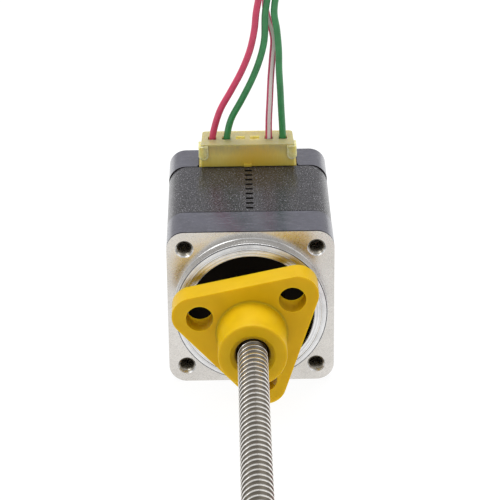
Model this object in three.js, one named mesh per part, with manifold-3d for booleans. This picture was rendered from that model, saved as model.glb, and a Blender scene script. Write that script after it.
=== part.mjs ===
// A small hybrid stepper motor whose shaft is its lead screw, with the flange nut that runs on it.
// Millimetres, +Z up. The screw lies along Y and points towards -Y. Every sub-part is built about
// the motor's axis with its mounting face at y = 0, and one group lifts them to their final place.
import * as THREE from "three";
import { mergeVertices } from "three/addons/utils/BufferGeometryUtils.js";
import Module from "manifold-3d";

const wasm = await Module();
wasm.setup();

// ---- Driving dimensions ----
const SIDE = 28;
const CORNER_R = 3;
const FRONT_CAP_END = 8;
const STATOR = [8.1, 27.1];
const REAR_CAP = [27.2, 34.5];
const HOLE_AT = 11;
const CASE_HOLE_R = 1.55;
const TAP_R = 1.15;
const TAP_SINK = 0.4;
const CASE_SCREW = { from: 5, underHead: 33.4, top: 34.3, shaftR: 1.25, headR: 2.1, slot: 0.2 };
const MARKS = { count: 9, x: 0.07, firstY: 25.1, pitch: 1.94, length: 1.2, width: 0.45, depth: 0.3 };

const PILOT_R = 12.85;
const PILOT_H = 2.3;
const RECESS_R = 10.55;
const RECESS_FLOOR = 2.9;
const HUB_R = 7.6;
const POCKET_R = 12.8;
const FRONT_POCKET = 4.8;
const REAR_POCKET = 32;
const BEARING = { innerR: 2.55, innerWall: 3.4, outerWall: 5.6, outerR: 6.5, width: 4, gap: 0.1 };
const BALLS = { count: 7, radius: 0.95, at: 4.5, cageHalf: 0.35, cageHalfWidth: 0.3 };
const FRONT_BEARING = 3.9;
const REAR_BEARING = 28.6;
const WASHER = { innerR: 5.75, outerR: 6.35, from: 32.7, to: 33.1 };
const REAR_BORE_END = 33.2;

const POLES = 8;
const YOKE_R = 11.6;
const BORE_R = 6.8;
const NECK_HALF = 1.5;
const SHOE_FOOT_R = 8.1;
const SHOE_TIP_R = 7.9;
const SHOE_HALF_ANGLE = 17;
const SHOE_TEETH = { each: 5, pitch: 7.2, tipHalf: 1.4, rootHalf: 1.8, depth: 0.3 };
const STATOR_MID = 17.6;
const COIL = {
  foot: 8.7,
  thickness: 1.9,
  windowHalf: 1.75,
  windowEnd: 10.5,
  outerHalf: 2.75,
  outerEnd: 11.3,
  round: 1,
};
const BOBBIN = { innerR: 11.4, outerR: 12.5, spokeFrom: 8.4, spokeHalf: 1.2, thickness: 0.7 };

const SCREW_R = 2.45;
const SCREW_OUT = 100;
const SCREW_END = 32.9;
const TIP_CHAMFER = 0.5;
const ROTOR_BORE_R = 2.55;
const ROTOR_R = 6.5;
const ROTOR_TEETH = 50;
const TOOTH_DEPTH = 0.35;
const FRONT_CUP = 8.6;
const REAR_CUP = 18.8;
const CUP_LENGTH = 7.8;
const MAGNET = { outerR: 5.6, from: 16.5, to: 18.7 };

const NUT_FACE = -9.3;
const NUT_BACK = -5;
const NUT_BARREL_R = 5.65;
const NUT_BARREL_END = -17.25;
const NUT_LOBES = [42.1, 162.1, 282.1];
const NUT_LOBE_AT = 9;
const NUT_LOBE_R = 4.3;
const NUT_HOLE_R = 2.25;
const NUT_BORE_R = 2.75;
const NUT_MOUTH_R = 3.6;

const PIN_PITCH = 2.5;
const PIN_COUNT = 6;
const PIN_HALF = 0.3;
const PIN_HOLE_HALF = 0.45;
const PIN_Y = 29.8;
const PIN_Z = [9.3, 14.6];
const PIN_TAIL_END = 31.8;
const SLOT = { half: 8.9, floor: 10.6, back: 33.1 };
const TOP_CUT = 10.4;
const HEADER = {
  half: 8.6,
  y: [27.45, 32.95],
  z: [10.9, 13.95],
  floor: 11.5,
  cavityHalf: 7.5,
  cavityY: [27.9, 32.5],
};
const BOARD = { innerR: 7.9, outerR: 12.4, y: [30.5, 31.3] };
const PLUG = { half: 8.2, y: [26.7, 32.9], z: [14.15, 18.3] };
const TONGUE = { half: 7.2, y: [28.2, 32.2], z: [11.8, 14.5] };
const KEY = { half: 0.65, y: [26.35, 27.2], z: [14.15, 15.7] };
const EAR = { inner: 6.9, outer: 8.65, y: [26.45, 29], z: [15.3, 17.6] };
const CAVITY = { halfX: 0.85, halfY: 0.95 };
const CRIMP = { half: 0.65, boreHalf: 0.42, z: [12, 15.6], boreTop: 15.2 };
const WIRED = [1, 2, 5, 6];
const LEAD_D = 1.2;
const LEAD_SIDES = 8;
const BUNDLE_COIL = { x: 27, y: -71, innerR: 8.9, outerR: 18.75, height: 2.75, lift: 0.65, round: 0.5 };
const TIE = { thickness: 0.4, gap: 0.2, halfWidth: 1.25, lift: 0.05, top: 4 };

const AXIS_Y = (SCREW_OUT - REAR_CAP[1]) / 2;
const AXIS_Z = SIDE / 2;

// ---- Solids ----
const rad = (degrees) => THREE.MathUtils.degToRad(degrees);
const pinX = (position) => (position - (PIN_COUNT + 1) / 2) * PIN_PITCH;

function solid(geometry) {
  geometry.deleteAttribute("normal");
  geometry.deleteAttribute("uv");
  const merged = mergeVertices(geometry, 1e-4);
  const mesh = new wasm.Mesh({
    numProp: 3,
    vertProperties: merged.attributes.position.array,
    triVerts: new Uint32Array(merged.index.array),
  });
  const made = new wasm.Manifold(mesh);
  if (made.volume() <= 0) throw new Error("a profile runs the wrong way round");
  return made;
}

function union(solids) {
  return solids.reduce((sum, next) => sum.add(next));
}

function without(body, cutters) {
  return cutters.reduce((left, cutter) => left.subtract(cutter), body);
}

// A closed ring or disc about the Y axis from [radius, y] corners, given in either direction.
function turned(corners, segments = 32) {
  const points = corners.map(([r, y]) => new THREE.Vector2(r, y));
  if (THREE.ShapeUtils.area(points) < 0) points.reverse();
  const first = points.findIndex((p) => p.x === 0);
  const open = first >= 0 && points.filter((p) => p.x === 0).length === 2;
  if (open) {
    while (!(points[0].x === 0 && points[points.length - 1].x === 0)) points.push(points.shift());
  } else {
    points.push(points[0].clone());
  }
  return solid(new THREE.LatheGeometry(points, segments));
}

function ring(inner, outer, y0, y1, segments = 32) {
  return turned([[inner, y0], [outer, y0], [outer, y1], [inner, y1]], segments);
}

function disc(radius, y0, y1, segments = 32) {
  return turned([[0, y0], [radius, y0], [radius, y1], [0, y1]], segments);
}

// A shape drawn in X and Z, pushed along Y from y0 to y1.
function along(shape, y0, y1, curveSegments = 3) {
  const geometry = new THREE.ExtrudeGeometry(shape, { depth: y1 - y0, bevelEnabled: false, curveSegments });
  geometry.rotateX(Math.PI / 2);
  geometry.translate(0, y1, 0);
  return solid(geometry);
}

function box([x0, x1], [y0, y1], [z0, z1]) {
  const geometry = new THREE.BoxGeometry(x1 - x0, y1 - y0, z1 - z0);
  geometry.translate((x0 + x1) / 2, (y0 + y1) / 2, (z0 + z1) / 2);
  return solid(geometry);
}

function hole(x, z, radius, y0, y1, segments = 12) {
  return disc(radius, y0, y1, segments).translate([x, 0, z]);
}

function aboutAxis(body, degrees) {
  return body.rotate([0, -degrees, 0]);
}

function corners() {
  const signs = [[1, 1], [-1, 1], [-1, -1], [1, -1]];
  return signs.map(([sx, sz]) => [sx * HOLE_AT, sz * HOLE_AT]);
}

function roundedSquare() {
  const half = SIDE / 2;
  const middle = half - CORNER_R;
  const shape = new THREE.Shape();
  shape.absarc(middle, middle, CORNER_R, 0, rad(90));
  shape.absarc(-middle, middle, CORNER_R, rad(90), rad(180));
  shape.absarc(-middle, -middle, CORNER_R, rad(180), rad(270));
  shape.absarc(middle, -middle, CORNER_R, rad(270), rad(360));
  shape.closePath();
  return shape;
}

function polygon(points) {
  return new THREE.Shape(points.map(([x, z]) => new THREE.Vector2(x, z)));
}

function polar(radius, degrees) {
  return [radius * Math.cos(rad(degrees)), radius * Math.sin(rad(degrees))];
}

// ---- Case ----
function frontEndCap() {
  const boss = turned([
    [RECESS_R - 0.5, 1],
    [PILOT_R, 1],
    [PILOT_R, -PILOT_H + 0.3],
    [PILOT_R - 0.3, -PILOT_H],
    [PILOT_R - 0.9, -PILOT_H],
    [PILOT_R - 1.05, -PILOT_H + 0.2],
    [PILOT_R - 2.05, -PILOT_H + 0.2],
    [PILOT_R - 2.3, -PILOT_H + 0.45],
    [RECESS_R - 0.5, -PILOT_H + 0.7],
  ], 48);
  const cutters = [
    disc(RECESS_R, -PILOT_H - 1, RECESS_FLOOR, 48),
    disc(BEARING.outerWall, RECESS_FLOOR - 1, FRONT_POCKET),
    disc(BEARING.outerR + BEARING.gap, FRONT_BEARING - BEARING.gap, FRONT_CAP_END + 1),
    ring(HUB_R, POCKET_R, FRONT_POCKET, FRONT_CAP_END + 1),
  ];
  for (const [x, z] of corners()) {
    const sink = turned([[0, -1], [CASE_HOLE_R + 1, -1], [TAP_R, TAP_SINK], [0, TAP_SINK]], 12);
    cutters.push(sink.translate([x, 0, z]));
    cutters.push(hole(x, z, TAP_R, -1, CASE_SCREW.from));
    cutters.push(hole(x, z, CASE_HOLE_R, CASE_SCREW.from - 0.4, FRONT_CAP_END + 1));
  }
  return without(along(roundedSquare(), 0, FRONT_CAP_END).add(boss), cutters);
}

function rearEndCap() {
  const [front, back] = REAR_CAP;
  const cutters = [
    disc(BEARING.outerR + BEARING.gap, front - 1, REAR_BORE_END),
    ring(HUB_R, POCKET_R, front - 1, REAR_POCKET),
    box([-SLOT.half, SLOT.half], [front - 1, SLOT.back], [SLOT.floor, SIDE]),
  ];
  for (const [x, z] of corners()) {
    cutters.push(hole(x, z, CASE_HOLE_R, front - 1, back + 1));
    cutters.push(hole(x, z, CASE_SCREW.headR + 0.3, CASE_SCREW.underHead - 0.1, back + 1));
  }
  return without(along(roundedSquare(), front, back), cutters);
}

function poleOutline() {
  const foot = YOKE_R + 0.4;
  const { each, pitch, tipHalf, rootHalf, depth } = SHOE_TEETH;
  const points = [[foot, -NECK_HALF], [foot, NECK_HALF], [SHOE_FOOT_R, NECK_HALF]];
  points.push(polar(SHOE_TIP_R, SHOE_HALF_ANGLE));
  for (let tooth = 0; tooth < each; tooth += 1) {
    const middle = ((each - 1) / 2 - tooth) * pitch;
    points.push(polar(BORE_R + depth, middle + rootHalf));
    points.push(polar(BORE_R, middle + tipHalf));
    points.push(polar(BORE_R, middle - tipHalf));
    points.push(polar(BORE_R + depth, middle - rootHalf));
  }
  points.push(polar(SHOE_TIP_R, -SHOE_HALF_ANGLE), [SHOE_FOOT_R, -NECK_HALF]);
  return polygon(points);
}

// The row of short notches along the top of the core.
function marks() {
  const across = [MARKS.x - MARKS.length / 2, MARKS.x + MARKS.length / 2];
  const notches = [];
  for (let i = 0; i < MARKS.count; i += 1) {
    const y = MARKS.firstY - MARKS.pitch * i;
    const wide = [y - MARKS.width / 2, y + MARKS.width / 2];
    notches.push(box(across, wide, [AXIS_Z - MARKS.depth, AXIS_Z + 1]));
  }
  return notches;
}

function statorCore() {
  const [front, back] = STATOR;
  const yoke = along(roundedSquare(), front, back).subtract(disc(YOKE_R, front - 1, back + 1));
  const pole = along(poleOutline(), front, back);
  const poles = [];
  for (let i = 0; i < POLES; i += 1) poles.push(aboutAxis(pole, (i * 360) / POLES));
  const cutters = corners().map(([x, z]) => hole(x, z, CASE_HOLE_R, front - 1, back + 1));
  return without(union([yoke, ...poles]), [...cutters, ...marks()]);
}

// A thin insulating frame at one end of the core. The rear one is open at the top, for the header.
function bobbin(y0, openTop) {
  const y1 = y0 + BOBBIN.thickness;
  const { innerR, outerR, spokeFrom, spokeHalf } = BOBBIN;
  const pieces = [ring(innerR, outerR, y0, y1)];
  for (let i = 0; i < POLES; i += 1) {
    const angle = (i * 360) / POLES;
    const spoke = box([spokeFrom, (innerR + outerR) / 2], [y0, y1], [-spokeHalf, spokeHalf]);
    if (!(openTop && angle === 90)) pieces.push(aboutAxis(spoke, angle));
  }
  const whole = union(pieces);
  return openTop ? whole.subtract(box([-SIDE, SIDE], [y0 - 1, y1 + 1], [TOP_CUT, SIDE])) : whole;
}

// A rectangular winding round one pole, with rounded outer corners.
function coil(degrees) {
  const { foot, thickness, windowHalf, windowEnd, outerHalf, outerEnd, round } = COIL;
  const [x, y] = [outerHalf - round, outerEnd - round];
  const outer = new THREE.Shape();
  outer.absarc(x, y, round, 0, rad(90));
  outer.absarc(-x, y, round, rad(90), rad(180));
  outer.absarc(-x, -y, round, rad(180), rad(270));
  outer.absarc(x, -y, round, rad(270), rad(360));
  outer.closePath();
  const settings = { depth: thickness, bevelEnabled: false, curveSegments: 2 };
  const geometry = new THREE.ExtrudeGeometry(outer, settings);
  const window = box([-windowHalf, windowHalf], [-windowEnd, windowEnd], [-1, thickness + 1]);
  const winding = solid(geometry).subtract(window);
  return aboutAxis(winding.translate([0, STATOR_MID, foot]), degrees - 90);
}

function caseScrew(x, z) {
  const { from, underHead, top, shaftR, headR, slot } = CASE_SCREW;
  const blank = turned([
    [0, from],
    [shaftR - 0.15, from],
    [shaftR, from + 0.2],
    [shaftR, underHead],
    [headR, underHead],
    [headR, top - 0.3],
    [headR - 0.3, top],
    [0, top],
  ], 12);
  const reach = headR - 0.9;
  const deep = [top - 0.5, top + 1];
  const cross = [box([-reach, reach], deep, [-slot, slot]), box([-slot, slot], deep, [-reach, reach])];
  return without(blank, cross).translate([x, 0, z]);
}

// ---- Rotor, screw and bearings ----
function rotorCup(y0, turn) {
  const points = [];
  const pitch = 360 / ROTOR_TEETH;
  for (let i = 0; i < ROTOR_TEETH; i += 1) {
    const at = i * pitch + turn;
    points.push(polar(ROTOR_R - TOOTH_DEPTH, at - 0.32 * pitch), polar(ROTOR_R, at - 0.2 * pitch));
    points.push(polar(ROTOR_R, at + 0.2 * pitch), polar(ROTOR_R - TOOTH_DEPTH, at + 0.32 * pitch));
  }
  const bore = disc(ROTOR_BORE_R, y0 - 1, y0 + CUP_LENGTH + 1, 24);
  return along(polygon(points), y0, y0 + CUP_LENGTH).subtract(bore);
}

function leadScrew() {
  const r = SCREW_R;
  return turned([
    [0, -SCREW_OUT],
    [r - TIP_CHAMFER, -SCREW_OUT],
    [r, -SCREW_OUT + TIP_CHAMFER],
    [r, SCREW_END - TIP_CHAMFER],
    [r - TIP_CHAMFER, SCREW_END],
    [0, SCREW_END],
  ], 24);
}

function ballCage(y0) {
  const { count, radius, at, cageHalf, cageHalfWidth } = BALLS;
  const middle = y0 + BEARING.width / 2;
  const pieces = [ring(at - cageHalf, at + cageHalf, middle - cageHalfWidth, middle + cageHalfWidth, 14)];
  for (let i = 0; i < count; i += 1) {
    const ball = solid(new THREE.SphereGeometry(radius, 6, 5));
    const [x, z] = polar(at, (i * 360) / count);
    pieces.push(ball.translate([x, middle, z]));
  }
  return union(pieces);
}

function bearingRing(inner, outer, y0) {
  return ring(inner, outer, y0, y0 + BEARING.width);
}

function frontSeal() {
  const { innerWall, outerWall, gap } = BEARING;
  const front = FRONT_BEARING + gap / 2;
  return ring(innerWall + 2 * gap, outerWall - gap, front, front + 0.3);
}

// ---- Connector ----
const both = (half) => [-half, half];
const around = (middle, half) => [middle - half, middle + half];

// One square hole at each pin position.
function pinHoles(z) {
  const holes = [];
  for (let position = 1; position <= PIN_COUNT; position += 1) {
    holes.push(box(around(pinX(position), PIN_HOLE_HALF), around(PIN_Y, PIN_HOLE_HALF), z));
  }
  return holes;
}

function connectorHeader() {
  const { half, y, z, floor, cavityHalf, cavityY } = HEADER;
  const cavity = box(both(cavityHalf), cavityY, [floor, z[1] + 1]);
  return without(box(both(half), y, z), [cavity, ...pinHoles([z[0] - 1, floor + 0.5])]);
}

// A post that stands in the header, with a tail that turns back through the board.
function headerPin(position) {
  const across = around(pinX(position), PIN_HALF);
  const post = box(across, around(PIN_Y, PIN_HALF), PIN_Z);
  return post.add(box(across, [PIN_Y - PIN_HALF, PIN_TAIL_END], [PIN_Z[0], PIN_Z[0] + 2 * PIN_HALF]));
}

function interfaceBoard() {
  const { innerR, outerR, y } = BOARD;
  const tailZ = PIN_Z[0] + PIN_HALF;
  const cutters = [box(both(SIDE), [y[0] - 1, y[1] + 1], [TOP_CUT, SIDE])];
  for (let position = 1; position <= PIN_COUNT; position += 1) {
    const across = around(pinX(position), PIN_HOLE_HALF);
    cutters.push(box(across, [y[0] - 1, y[1] + 1], around(tailZ, PIN_HOLE_HALF)));
  }
  return without(ring(innerR, outerR, ...y), cutters);
}

// The ears at the plug's front corners are upright lugs with a rounded foot.
function plugEar() {
  const { inner, outer, y, z } = EAR;
  const radius = (outer - inner) / 2;
  const shape = new THREE.Shape();
  shape.moveTo(inner, z[1]);
  shape.absarc(inner + radius, z[0] + radius, radius, rad(180), rad(360));
  shape.lineTo(outer, z[1]);
  shape.closePath();
  return along(shape, ...y, 4);
}

function connectorPlug() {
  const pieces = [PLUG, TONGUE, KEY].map(({ half, y, z }) => box(both(half), y, z));
  pieces.push(plugEar(), plugEar().mirror([1, 0, 0]));
  const cavities = [];
  for (let position = 1; position <= PIN_COUNT; position += 1) {
    const across = around(pinX(position), CAVITY.halfX);
    cavities.push(box(across, around(PIN_Y, CAVITY.halfY), [TONGUE.z[0] - 1, PLUG.z[1] + 1]));
  }
  return without(union(pieces), cavities);
}

function crimpTerminal(position) {
  const { half, boreHalf, z, boreTop } = CRIMP;
  const x = pinX(position);
  const tube = box(around(x, half), around(PIN_Y, half), z);
  return tube.subtract(box(around(x, boreHalf), around(PIN_Y, boreHalf), [z[0] - 1, boreTop]));
}

// ---- Flange nut ----
function flangeNut() {
  const outline = new THREE.Shape();
  for (const angle of NUT_LOBES) {
    const [x, z] = polar(NUT_LOBE_AT, angle);
    outline.absarc(x, z, NUT_LOBE_R, rad(angle - 60), rad(angle + 60));
  }
  outline.closePath();
  const flange = along(outline, NUT_FACE, NUT_BACK, 6);
  const barrel = turned([
    [1, NUT_BACK],
    [NUT_BARREL_R, NUT_BACK],
    [NUT_BARREL_R, NUT_BARREL_END + 0.5],
    [NUT_BARREL_R - 0.5, NUT_BARREL_END],
    [1, NUT_BARREL_END],
  ]);
  const flare = NUT_MOUTH_R - NUT_BORE_R;
  const bore = turned([
    [0, NUT_BARREL_END - 1],
    [NUT_MOUTH_R + flare, NUT_BARREL_END - 1],
    [NUT_BORE_R, NUT_BARREL_END + 1],
    [NUT_BORE_R, NUT_BACK + 1],
    [0, NUT_BACK + 1],
  ], 24);
  const cutters = [bore];
  for (const angle of NUT_LOBES) {
    const [x, z] = polar(NUT_LOBE_AT, angle);
    cutters.push(hole(x, z, NUT_HOLE_R, NUT_FACE - 1, NUT_BACK + 1));
  }
  return without(flange.add(barrel), cutters);
}

// ---- Leads ----
// Every lead rises from its own crimp. From the top of the rise they run side by side, as a row of
// three with the striped one on top: over to the right, down, and along the ground to the coil.
const RISES = {
  1: [
    [-6.25, 29.8, 15.9], [-6.2, 29.8, 18.2], [-5.9, 29.8, 19.9], [-4.75, 29.8, 23.6],
    [-2.7, 29.8, 27.4], [-0.8, 29.8, 31.1], [0.6, 29.8, 34.8], [1.4, 29.8, 38.5],
  ],
  2: [
    [-3.75, 29.8, 15.9], [-3.65, 29.8, 18.3], [-2.9, 29.8, 21.7], [-0.95, 29.8, 25.5],
    [0.85, 29.8, 29.2], [2.25, 29.8, 32.9], [3.1, 29.8, 36.6],
  ],
  5: [
    [3.75, 29.8, 15.9], [3.8, 29.8, 21.6], [4, 30.05, 25.4], [4.2, 30.55, 29.1],
    [4.5, 30.95, 32.9], [4.7, 31.25, 36.6],
  ],
  6: [
    [6.25, 29.8, 15.9], [6.2, 29.8, 19.6], [6, 29.8, 23.5], [5.85, 29.8, 27.2],
    [5.65, 29.8, 31], [5.6, 29.8, 34.7], [5.3, 29.8, 38.4],
  ],
};
// The bundle's route: x, y, z and the heading of its row.
const ROUTE = [
  [3.35, 29.8, 42.1, 180],
  [5.2, 28.3, 50, 195],
  [11, 23.5, 58.5, 215],
  [21.5, 14, 64.5, 224],
  [32.5, 3.5, 65, 220],
  [40.8, -5.8, 60, 206],
  [44, -10.7, 48.8, 192],
  [44.3, -12.4, 36, 182],
  [44.3, -12.7, 24, 180],
  [44.3, -12.9, 12, 180],
  [44.3, -13.6, 0.5, 180],
  [44.3, -16.8, -8.2, 180],
  [44.3, -24, -12.2, 180],
  [44.2, -34, -12.75, 180],
  [44, -46, -12.75, 180],
  [43.6, -58, -12.75, 180],
];
const PLACES = { 1: [1.55, 0], 2: [0, 0], 5: [0, 1.5], 6: [-1.5, 0] };

// A point beside the route: so far along its row, and so far up from it.
function beside(index, [acrossRow, above]) {
  const [x, y, z, heading] = ROUTE[index];
  const before = new THREE.Vector3(...ROUTE[Math.max(index - 1, 0)].slice(0, 3));
  const after = new THREE.Vector3(...ROUTE[Math.min(index + 1, ROUTE.length - 1)].slice(0, 3));
  const travel = after.sub(before).normalize();
  const row = new THREE.Vector3(Math.cos(rad(heading)), Math.sin(rad(heading)), 0);
  const top = new THREE.Vector3().crossVectors(row, travel).normalize();
  return new THREE.Vector3(x, y, z).addScaledVector(row, acrossRow).addScaledVector(top, above);
}

// A smooth curve that is cut into one straight step between each point and the next.
class LeadPath extends THREE.CatmullRomCurve3 {
  getUtoTmapping(share) {
    return share;
  }
}

function leadTube(position) {
  const points = RISES[position].map((p) => new THREE.Vector3(...p));
  for (let i = 0; i < ROUTE.length; i += 1) points.push(beside(i, PLACES[position]));
  const path = new LeadPath(points, false, "centripetal");
  const section = new THREE.Shape();
  section.absarc(0, 0, LEAD_D / 2, 0, rad(360));
  const geometry = new THREE.ExtrudeGeometry(section, {
    steps: points.length - 1,
    extrudePath: path,
    curveSegments: LEAD_SIDES / 2,
  });
  return solid(geometry);
}

function leadCoil() {
  const { x, y, innerR, outerR, height, lift, round } = BUNDLE_COIL;
  const lying = turned([
    [innerR + round, 0],
    [outerR - round, 0],
    [outerR, round],
    [outerR, height - round],
    [outerR - round, height],
    [innerR + round, height],
    [innerR, height - round],
    [innerR, round],
  ]);
  return lying.rotate([90, 0, 0]).translate([x, y, lift - AXIS_Z]);
}

// A band round the coil's section, at its side under the screw.
function leadTie() {
  const { x, y, innerR, outerR, height, lift } = BUNDLE_COIL;
  const middle = x - (innerR + outerR) / 2;
  const inside = (outerR - innerR) / 2 + TIE.gap;
  const top = lift + height + TIE.gap;
  const outer = box(around(middle, inside + TIE.thickness), around(y, TIE.halfWidth), [TIE.lift, TIE.top]);
  const inner = box(around(middle, inside), around(y, TIE.halfWidth + 1), [TIE.lift + TIE.thickness, top]);
  return outer.subtract(inner).translate([0, 0, -AXIS_Z]);
}

// ---- Finishes: colour, roughness, metalness ----
const FINISHES = {
  cap: [0x3a4048, 0.45, 0.3],
  face: [0xc9ccce, 0.35, 0.95],
  laminations: [0x2b2d31, 0.6, 0.7],
  steel: [0xb9bdc0, 0.3, 1],
  dark: [0x17181a, 0.6, 0],
  magnet: [0x6d7075, 0.35, 0.9],
  copper: [0xb5652c, 0.35, 0.9],
  board: [0x2f6b3c, 0.5, 0],
  nylon: [0xe6dcae, 0.4, 0],
  tin: [0xcfd1cf, 0.3, 0.9],
  acetal: [0xe0a11e, 0.4, 0],
  red: [0xe0526a, 0.45, 0],
  green: [0x2fa56a, 0.45, 0],
  white: [0xf0eef0, 0.45, 0],
};

function meshOf(name, body, finish) {
  const data = body.getMesh();
  const geometry = new THREE.BufferGeometry();
  const position = new Float32Array(data.numVert * 3);
  for (let i = 0; i < data.numVert; i += 1) {
    position.set(data.vertProperties.subarray(i * data.numProp, i * data.numProp + 3), i * 3);
  }
  geometry.setAttribute("position", new THREE.BufferAttribute(position, 3));
  geometry.setIndex(new THREE.BufferAttribute(data.triVerts, 1));
  geometry.computeVertexNormals();
  const [color, roughness, metalness] = FINISHES[finish];
  const mesh = new THREE.Mesh(geometry, new THREE.MeshStandardMaterial({ color, roughness, metalness }));
  mesh.name = name;
  return mesh;
}

function group(name, meshes) {
  const made = new THREE.Group();
  made.name = name;
  made.add(...meshes);
  return made;
}

function caseGroup() {
  const meshes = [
    meshOf("front_end_cap", frontEndCap(), "face"),
    meshOf("stator_core", statorCore(), "laminations"),
    meshOf("rear_end_cap", rearEndCap(), "cap"),
    meshOf("front_bobbin", bobbin(STATOR[0] - 0.1 - BOBBIN.thickness, false), "dark"),
    meshOf("rear_bobbin", bobbin(REAR_CAP[0], true), "dark"),
  ];
  for (let i = 0; i < POLES; i += 1) meshes.push(meshOf(`coil_${i + 1}`, coil((i * 360) / POLES), "copper"));
  corners().forEach(([x, z], i) => meshes.push(meshOf(`case_screw_${i + 1}`, caseScrew(x, z), "steel")));
  return group("case", meshes);
}

function rotorGroup() {
  return group("rotor", [
    meshOf("rotor_cup_front", rotorCup(FRONT_CUP, 0), "laminations"),
    meshOf("rotor_magnet", ring(ROTOR_BORE_R, MAGNET.outerR, MAGNET.from, MAGNET.to), "magnet"),
    meshOf("rotor_cup_rear", rotorCup(REAR_CUP, 180 / ROTOR_TEETH), "laminations"),
    meshOf("lead_screw", leadScrew(), "steel"),
  ]);
}

function bearingGroup() {
  const { innerR, innerWall, outerWall, outerR } = BEARING;
  const meshes = [];
  for (const [end, y] of [["front", FRONT_BEARING], ["rear", REAR_BEARING]]) {
    meshes.push(meshOf(`${end}_bearing_inner_ring`, bearingRing(innerR, innerWall, y), "steel"));
    meshes.push(meshOf(`${end}_bearing_outer_ring`, bearingRing(outerWall, outerR, y), "steel"));
    meshes.push(meshOf(`${end}_bearing_balls`, ballCage(y), "steel"));
  }
  const washer = ring(WASHER.innerR, WASHER.outerR, WASHER.from, WASHER.to);
  meshes.push(meshOf("front_bearing_seal", frontSeal(), "dark"));
  meshes.push(meshOf("wave_washer", washer, "steel"));
  return group("bearings", meshes);
}

function connectorGroup() {
  const meshes = [
    meshOf("connector_header", connectorHeader(), "nylon"),
    meshOf("interface_board", interfaceBoard(), "board"),
    meshOf("connector_plug", connectorPlug(), "nylon"),
  ];
  for (let p = 1; p <= PIN_COUNT; p += 1) meshes.push(meshOf(`header_pin_${p}`, headerPin(p), "tin"));
  for (const p of WIRED) meshes.push(meshOf(`crimp_terminal_${p}`, crimpTerminal(p), "tin"));
  return group("connector", meshes);
}

function leadGroup() {
  return group("leads", [
    meshOf("lead_pink", leadTube(1), "red"),
    meshOf("lead_green_1", leadTube(2), "green"),
    meshOf("lead_striped", leadTube(5), "white"),
    meshOf("lead_green_2", leadTube(6), "green"),
    meshOf("lead_coil", leadCoil(), "white"),
    meshOf("lead_tie", leadTie(), "dark"),
  ]);
}

const motor = group("stepper_motor_with_lead_screw", [
  caseGroup(),
  rotorGroup(),
  bearingGroup(),
  connectorGroup(),
  leadGroup(),
  group("nut", [meshOf("flange_nut", flangeNut(), "acetal")]),
]);
motor.position.set(0, AXIS_Y, AXIS_Z);

const part = new THREE.Group();
part.name = "part";
part.add(motor);

export default part;
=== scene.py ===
"""A small stepper motor whose shaft is a lead screw, with its flange nut, plug and leads.

Lengths of rigid pieces are in millimetres about the motor's axis, with y = 0 on the mounting face;
finished() turns them into metres in the frame. The leads' routes and the camera are in metres.
"""
import math

import bmesh
import bpy
from mathutils import Matrix, Quaternion, Vector


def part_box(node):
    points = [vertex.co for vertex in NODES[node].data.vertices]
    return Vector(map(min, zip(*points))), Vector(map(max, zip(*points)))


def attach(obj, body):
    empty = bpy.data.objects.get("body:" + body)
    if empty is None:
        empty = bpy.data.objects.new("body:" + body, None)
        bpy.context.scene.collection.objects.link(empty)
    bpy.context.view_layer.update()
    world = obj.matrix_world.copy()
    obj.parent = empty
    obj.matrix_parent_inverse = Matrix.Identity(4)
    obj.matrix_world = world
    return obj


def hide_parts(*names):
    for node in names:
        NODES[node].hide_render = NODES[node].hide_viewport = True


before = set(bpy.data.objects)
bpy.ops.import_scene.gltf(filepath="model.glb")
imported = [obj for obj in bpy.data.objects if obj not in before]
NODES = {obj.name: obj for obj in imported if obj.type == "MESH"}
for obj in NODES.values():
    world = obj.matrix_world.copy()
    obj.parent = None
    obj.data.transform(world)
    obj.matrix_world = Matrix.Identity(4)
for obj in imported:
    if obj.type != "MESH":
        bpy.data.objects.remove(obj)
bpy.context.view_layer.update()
MM = 0.001

# ---- Where the motor is, from the frame ----
SCREW_LOW, SCREW_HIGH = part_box("lead_screw")
CORE_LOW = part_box("stator_core")[0]
AXIS_Z = (SCREW_LOW.z + SCREW_HIGH.z) / 2
CORE_START = 8.1  # from the mounting face back to the core
FACE_Y = CORE_LOW.y - CORE_START * MM
ORIGIN = Vector((0, FACE_Y, AXIS_Z))


def span(node):
    """A CAD node's lowest and highest corner, in millimetres about the axis."""
    low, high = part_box(node)
    return (low - ORIGIN) / MM, (high - ORIGIN) / MM


CORE = span("stator_core")
REAR = span("rear_end_cap")
SIDE = CORE[1].x - CORE[0].x
CORNER = 3.0
HOLE_AT = 11.0


# ---- Camera ----
def make_camera():
    place = Vector((-0.00357, -0.29553, 0.18482))
    azimuth, elevation, roll = (math.radians(a) for a in (0.61, 26.0, -0.612))
    level = math.cos(elevation)
    ahead = Vector((math.sin(azimuth) * level, math.cos(azimuth) * level, -math.sin(elevation)))
    data = bpy.data.cameras.new("camera")
    data.lens = 158.2
    data.clip_start, data.clip_end = 0.01, 20
    camera = bpy.data.objects.new("camera", data)
    camera.rotation_mode = "QUATERNION"
    camera.location = place
    camera.rotation_quaternion = ahead.to_track_quat("-Z", "Y") @ Quaternion((0, 0, 1), roll)
    bpy.context.scene.collection.objects.link(camera)
    bpy.context.scene.camera = camera


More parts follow.
